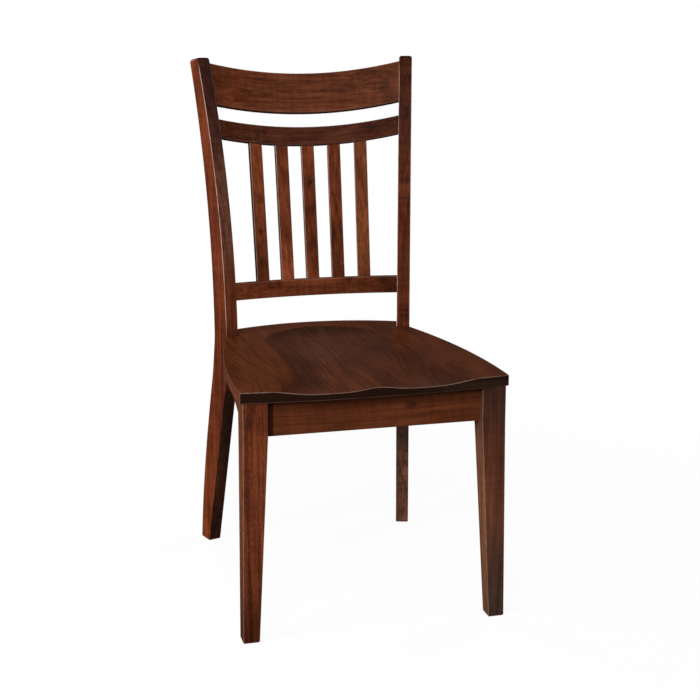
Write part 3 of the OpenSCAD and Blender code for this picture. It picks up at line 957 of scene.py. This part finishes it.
lowerTone = {
    "stain": (0.112, 0.027, 0.0100),
    "pith": (0.7, 0.10, 0.05),
    "tones": ("X", (-0.17, 0.02, 0.16), (1.18, 1.0, 0.42)),
    "curl": 0.6,
}
rearTone = {"along": "X", "ends": ()}

railPiece("crest_rail", "crestRail", {**railTone, **crestTone})
railPiece("upper_back_rail", "upperBackRail", {**railTone, **upperTone})
railPiece("lower_back_rail", "lowerBackRail", {**railTone, **lowerTone})
railPiece("rear_apron", "rearApron", {**apron, **rearTone})
print("rails bent")


# Slats, each from another stick

slat = {
    "ease": 0.0012,
    "figure": 1.4,
    "curl": 0.15,
    "streaks": 1.5,
    "rings": 0.8,
    "knots": 0.2,
    "rubAndHighlight": 0.85,
    "pithFrom": (0.09, 0.07, 0.0),
    "pithStep": (0.031, 0.0, 0.37),
    "sticks": [
        {
            "stain": (0.159, 0.0371, 0.0138),
            "tones": ("Z", (0.56, 0.67, 0.85), (0.45, 1.0, 0.90)),
            "faces": [((1, 0, 0), (0.20, 0.20, 0.25))],
            "marks": [((-0.106, 0.215, 0.656), (0.011, 0.15, 0.013), 0.85),
                      ((-0.106, 0.205, 0.594), (0.014, 0.15, 0.020), 0.8)],
        },
        {
            "stain": (0.137, 0.0316, 0.0121),
            "tones": ("Z", (0.56, 0.66, 0.85), (1.70, 1.03, 0.75)),
            "faces": [((1, 0, 0), (0.20, 0.20, 0.25))],
        },
        {
            "stain": (0.1005, 0.0225, 0.0084),
            "tones": ("Z", (0.56, 0.66, 0.83), (1.45, 0.80, 1.35)),
            "faces": [((1, 0, 0), (0.45, 0.45, 0.5))],
            "marks": [((0.0, 0.230, 0.750), (0.018, 0.15, 0.026), 0.6),
                      ((0.002, 0.230, 0.748), (0.010, 0.15, 0.009), 0.8),
                      ((0.005, 0.220, 0.693), (0.009, 0.15, 0.016), 0.7),
                      ((0.0, 0.210, 0.622), (0.012, 0.15, 0.022), 0.7)],
        },
        {
            "stain": (0.106, 0.0238, 0.0094),
            "tones": ("Z", (0.56, 0.645, 0.69), (0.74, 0.56, 1.15)),
            "faces": [((1, 0, 0), (0.55, 0.6, 0.7))],
        },
        {
            "stain": (0.1215, 0.0325, 0.0112),
            "tones": ("Z", (0.56, 0.65, 0.74), (0.93, 1.05, 0.88)),
            "faces": [((1, 0, 0), (0.6, 0.7, 0.8))],
        },
    ],
}

for number, own in enumerate(slat["sticks"], start=1):
    stick = easedPiece(f"slat_{number}", f"slat.{number}", (0, 0, 1), slat["ease"])
    pith = [start + step * number for start, step in zip(slat["pithFrom"], slat["pithStep"])]
    stickWood = woodFinish(f"slatWood.{number}", {**slat, **own, "pith": pith})
    dress(stick, f"slat_{number}", stickWood)
print("slats eased")


# The seat: one saddled board, laid out as a grid between its own curved edges

seat = {
    "cornerX": 0.243,
    "frontY": -0.27926,        # the front corners, level with the legs' front faces
    "frontBow": 0.016,
    "sideBow": 0.016,
    "postCorner": (0.189, 0.14674),
    "postTurn": 17.5,
    "postThick": 0.026,
    "notchGap": 0.001,
    "rearReach": 0.050,
    "rearBow": 0.041,
    "ease": 0.0016,
    "easedCorner": 0.05,       # upright edges this near the front corners are eased too
    "highlightWay": (0.12, -0.97, 0.16),
    "leastTurn": 0.25,
    "stripX": 0.198,           # where the notch's column starts at the front edge
    "stripColumns": 10,
    "middleColumns": 96,
    "frontRows": 104,
    "rearRows": 22,
    # Relief, measured from the legs' front faces
    "channelDepth": 0.0076,
    "bowlDepth": 0.0086,
    "bowlY": 0.352,
    "bowlR": 0.125,
    "waistHalf": 0.118,
    "flareHalf": 0.062,
    "flareRun": 0.090,
    "wallRun": 0.080,
    "crispness": (0.45, 0.90),     # how crisp the wall's upper border is in front and behind
    "crispFrom": 0.15,
    "crispRun": 0.20,
    "pommelHalf": 0.036,
    "pommelRise": 0.80,
    "pommelFrom": 0.10,
    "pommelTo": 0.27,
    "stain": (0.0815, 0.0245, 0.0115),
    "along": "Y",
    "pith": (-0.035, 0.400, 0.3),
    "boardWidth": 0.097,
    "boardShift": 0.0485,
    "boardPick": 3.0,
    "boardReach": (0.07, 0.03, 1.0),
    "boardTones": (0.90, 1.10),
    "figure": 1.15,
    "curl": 0.2,
    "rings": 0.75,
    "streaks": 0.6,
    "drift": 5.0,
    "knots": 0.0,
    "rubAndHighlight": 0.55,
    "lacquer": 0.025,
    "polish": 0.2,
    "rough": 0.40,
    # The saddle is cut into the board and is darker down its walls than on the rim: partly deeper
    # stain, partly painted shade for its relief
    "tones": ("Z", (0.4490, 0.4550, 0.4574), (1.02, 0.82, 1.10)),
    "faces": [((1, 0, 0), (1.3, 1.2, 1.1)), ((0, 0, 1), (1.08, 0.92, 0.70), ("Z", 0.4530, 0.4572)),
              ((0, 0, 1), (0.82, 0.84, 0.90), ("X", -0.02, 0.14))],
    # Painted shade in the left thigh trough, at the back of the bowl and down its right border, and
    # painted light on the middle ridge and behind it, for the saddle's relief
    "marks": [((-0.088, -0.100, 0.450), (0.045, 0.100, 0.05), 0.45),
              ((-0.108, -0.215, 0.450), (0.050, 0.105, 0.05), 0.58),
              ((-0.070, 0.110, 0.452), (0.042, 0.075, 0.05), 0.30),
              ((0.128, -0.100, 0.455), (0.016, 0.080, 0.05), 0.35),
              ((0.165, -0.215, 0.455), (0.024, 0.075, 0.05), 0.52),
              ((0.190, -0.283, 0.4445), (0.140, 0.040, 0.0125), 0.38, (0.060, 0.034, 0.022)),
              ((0.000, -0.180, 0.452), (0.032, 0.090, 0.05), 0.26, (0.130, 0.058, 0.036)),
              ((-0.040, -0.010, 0.449), (0.048, 0.095, 0.05), 0.22, (0.120, 0.060, 0.040)),
              ((0.010, 0.165, 0.452), (0.012, 0.075, 0.05), 0.25, (0.125, 0.056, 0.034))],
    # Where it cuts across the fibres they drink a little, which also paints shade on the saddle's
    # slopes facing front and back, and at the front end a lot
    "ends": ((0.03, 0.16, 0.55), (0.60, 0.95, 0.88)),
}


def smoothStep(value):
    value = min(max(value, 0.0), 1.0)
    return value * value * (3 - 2 * value)


def seatDepth(x, y):
    # How deep the saddle is below the rim at a place in plan
    run = y - seat["frontY"]
    half = seat["waistHalf"] + seat["flareHalf"] * math.exp(-run / seat["flareRun"])
    bowlIn = seat["bowlR"] - math.hypot(x, run - seat["bowlY"])
    channelIn = half - abs(x) if run < seat["bowlY"] else bowlIn
    inside = max(channelIn, bowlIn)
    if inside <= 0:
        return 0.0
    part = min(inside / seat["wallRun"], 1.0)
    soft, crisp = seat["crispness"]
    crisp = soft + (crisp - soft) * smoothStep((run - seat["crispFrom"]) / seat["crispRun"])
    wall = crisp * part * (2 - part) + (1 - crisp) * smoothStep(part)
    deeper = (seat["bowlDepth"] - seat["channelDepth"]) * smoothStep(run / seat["bowlY"])
    deep = seat["channelDepth"] + deeper
    fade = 1 - smoothStep((run - seat["pommelFrom"]) / (seat["pommelTo"] - seat["pommelFrom"]))
    pommel = seat["pommelRise"] * math.exp(-(x / seat["pommelHalf"]) ** 2) * fade
    return deep * wall * (1 - pommel)


def arcPoint(first, second, bulge, part):
    # A point on the arc from first to second, bulging to the right of the way
    chord = (second - first).length
    radius = (chord ** 2 / 4 + bulge ** 2) / (2 * bulge)
    half = math.asin(chord / 2 / radius)
    along = (second - first).normalized()
    outward = Vector((along.y, -along.x))
    angle = half * (2 * part - 1)
    middle = (first + second) / 2
    rise = radius * math.cos(angle) - radius + bulge
    return middle + along * (radius * math.sin(angle)) + outward * rise


def seatCorners():
    turn = math.radians(seat["postTurn"])
    deepWay = Vector((math.sin(turn), math.cos(turn)))
    inWay = Vector((-math.cos(turn), math.sin(turn)))
    outer = Vector(seat["postCorner"])
    inner = outer + inWay * seat["postThick"]
    gap = seat["notchGap"]
    return {
        "front": Vector((seat["cornerX"], seat["frontY"])),
        "notchOuter": outer - deepWay * gap,
        "notchInner": inner - deepWay * gap + inWay * gap,
        "rear": inner + deepWay * seat["rearReach"] + inWay * gap,
    }


def mirrored(point):
    return Vector((-point.x, point.y))


# Columns of the grid: a strip outside each notch, and the middle between the notches
columns = 2 * seat["stripColumns"] + seat["middleColumns"]
strip = 2 * seat["stripColumns"] / columns


def frontEdge(across):
    # Across runs from -1 to 1
    size = abs(across)
    if size < 1 - strip:
        x = seat["stripX"] * size / (1 - strip)
    else:
        x = seat["stripX"] + (seat["cornerX"] - seat["stripX"]) * (size - 1 + strip) / strip
    x = math.copysign(x, across)
    radius = (seat["cornerX"] ** 2 + seat["frontBow"] ** 2) / (2 * seat["frontBow"])
    return Vector((x, seat["frontY"] - seat["frontBow"] + radius - math.sqrt(radius ** 2 - x * x)))


def notchRow(across, corners):
    size = abs(across)
    inner = corners["notchInner"]
    if size <= 1 - strip:
        return Vector((inner.x * across / (1 - strip), inner.y))
    point = inner.lerp(corners["notchOuter"], (size - 1 + strip) / strip)
    return point if across > 0 else mirrored(point)


def seatPlace(column, row, corners):
    across = 2 * column / columns - 1
    if row <= seat["frontRows"]:
        along = row / seat["frontRows"]
        front, notch = corners["front"], corners["notchOuter"]
        right = arcPoint(front, notch, seat["sideBow"], along)
        part = column / columns
        edge = frontEdge(across) * (1 - along) + notchRow(across, corners) * along
        sides, frontMix, notchMix = (
            mirrored(end) * (1 - part) + end * part for end in (right, front, notch)
        )
        return edge + sides - frontMix * (1 - along) - notchMix * along
    along = (row - seat["frontRows"]) / seat["rearRows"]
    inner = (column - seat["stripColumns"]) / seat["middleColumns"]
    rear = corners["rear"]
    back = arcPoint(rear, mirrored(rear), seat["rearBow"], 1 - inner)
    return notchRow(across, corners).lerp(back, along)


def seatPiece():
    low, high = (Vector(corner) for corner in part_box("seat"))
    rows = seat["frontRows"] + seat["rearRows"]
    piece = newGrid("seatBoard", columns, rows)
    corners = seatCorners()
    spare = []
    for point in piece.data.vertices:
        column = round((point.co.x + 0.5) * columns)
        row = round((point.co.y + 0.5) * rows)
        inside = seat["stripColumns"] <= column <= columns - seat["stripColumns"]
        if row > seat["frontRows"] and not inside:
            spare.append(point.index)
            continue
        place = seatPlace(column, row, corners)
        point.co = (place.x, place.y, low.z)
    bpy.ops.object.mode_set(mode="EDIT")
    bpy.ops.mesh.select_all(action="DESELECT")
    board = bmesh.from_edit_mesh(piece.data)
    board.verts.ensure_lookup_table()
    for index in spare:
        board.verts[index].select = True
    bmesh.update_edit_mesh(piece.data)
    bpy.ops.mesh.delete(type="VERT")
    thicken((0, 0, high.z - low.z))
    middle = (low.z + high.z) / 2
    for point in piece.data.vertices:
        if point.co.z > middle:
            point.co.z = high.z - seatDepth(point.co.x, point.co.y)

    def rule(first, second, normalA, normalB):
        if abs((second - first).normalized().z) <= meshWork["closely"]:
            return 1.0
        forward = first.y < seat["frontY"] + seat["easedCorner"]
        return 1.0 if forward and abs(first.x) > seat["postCorner"][0] else 0.0

    weightEdges(piece, rule)
    easeEdges(piece, seat["ease"], way=seat["highlightWay"], leastTurn=seat["leastTurn"])
    finishShading(piece)
    dress(piece, "seat", woodFinish("seatWood", seat))
    print("seat board:", len(piece.data.polygons), "faces")


seatPiece()


# Hidden pieces stay as they are and only take a finish

def finishNode(node, material):
    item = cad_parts[node]
    item.data.materials.clear()
    item.data.materials.append(material)


blockLook = {"along": "X", "ends": ((0.45, 0.95, 0.4),), "rubAndHighlight": 0.0}
dowelLook = {"stain": (0.42, 0.27, 0.15), "figure": 0.6, "rubAndHighlight": 0.0, "ends": ()}
blockWood = woodFinish("blockWood", {**apron, **blockLook})
dowelWood = woodFinish("dowelWood", dowelLook)
steel = screwFinish()
for place in ("front_left", "front_right", "rear_left", "rear_right"):
    finishNode(f"corner_block_{place}", blockWood)
for place in ("front_apron_dowels", "side_apron_front_dowels", "side_apron_rear_dowels"):
    finishNode(place, dowelWood)
for place in ("corner_block_screws", "seat_screws"):
    finishNode(place, steel)
print("hidden pieces finished")


# Studio: a pale floor, a pale world and four soft lamps

studio = {
    "floorSize": 900,
    "floorPale": 0.88,
    "floorRough": 0.9,
    "floorBounce": 0.10,     # what the floor gives back to the object
    "glowNear": 0.93,        # share of plain white in the floor's look, at the chair
    "glowFrom": 0.9,
    "glowTo": 3.5,           # from this far out the floor is plain white
    "roomSoft": 0.22,        # light that the pale room gives off
    "lamps": [
        # name, place, size, share of a plain level that it gives a surface turned to it
        ("keyLamp", (-2.8, -0.95, 1.2), 1.0, 0.80),
        ("fillLamp", (-1.15, -2.60, 2.0), 1.6, 0.70),
        ("sideLamp", (2.7, 1.3, 0.8), 1.6, 0.75),
        ("backLamp", (-0.9, 2.7, 0.7), 1.6, 0.50),
    ],
    "aim": (0, 0, 0.5),
}


def seenDirectly(tree):
    # One where a camera, a reflection or glass sees the surface
    path = addNode(tree, "ShaderNodeLightPath")
    seen = maths(tree, "MAXIMUM", path.outputs["Is Camera Ray"], path.outputs["Is Glossy Ray"])
    return maths(tree, "MAXIMUM", seen, path.outputs["Is Transmission Ray"])


def grey(level):
    return (level, level, level, 1)


def addFloor():
    bpy.ops.object.select_all(action="DESELECT")
    bpy.ops.mesh.primitive_plane_add(size=studio["floorSize"], location=(0, 0, 0))
    floor = bpy.context.active_object
    floor.name = "floor"
    material, tree, surface = newMaterial("paleFloor")
    seen = seenDirectly(tree)
    shade = mixColour(tree, seen, grey(studio["floorBounce"]), grey(studio["floorPale"]))
    feed(tree, surface["Base Color"], shade)
    feed(tree, surface["Roughness"], studio["floorRough"])
    feed(tree, surface["Specular IOR Level"], 0.0)
    white = addNode(tree, "ShaderNodeEmission")
    feed(tree, white.inputs["Strength"], 1.0)
    where = addNode(tree, "ShaderNodeTexCoord")
    away = vectorMaths(tree, "LENGTH", where.outputs["Object"])
    glow = remap(tree, away, studio["glowFrom"], studio["glowTo"], studio["glowNear"], 1.0)
    blend = addNode(tree, "ShaderNodeMixShader")
    feed(tree, blend.inputs["Fac"], times(tree, seen, glow))
    feed(tree, blend.inputs[1], tree.nodes["Principled BSDF"].outputs["BSDF"])
    feed(tree, blend.inputs[2], white.outputs["Emission"])
    feed(tree, tree.nodes["Material Output"].inputs["Surface"], blend.outputs["Shader"])
    floor.data.materials.append(material)


def addWorld():
    world = bpy.data.worlds.new("paleRoom")
    bpy.context.scene.world = world
    world.use_nodes = True
    tree = world.node_tree
    light = tree.nodes["Background"].inputs
    feed(tree, light["Color"], grey(1))
    strength = remap(tree, seenDirectly(tree), 0.0, 1.0, studio["roomSoft"], 1.0, smooth=False)
    feed(tree, light["Strength"], strength)


def addLamps():
    for name, place, size, level in studio["lamps"]:
        way = Vector(studio["aim"]) - Vector(place)
        bpy.ops.object.light_add(type="AREA", location=place)
        lamp = bpy.context.active_object
        lamp.name = name
        lamp.data.size = size
        lamp.data.energy = level * (math.pi * way.length) ** 2
        lamp.rotation_euler = way.to_track_quat("-Z", "Y").to_euler()


addFloor()
addWorld()
addLamps()
bpy.context.scene.view_settings.view_transform = "Standard"
print("studio ready")
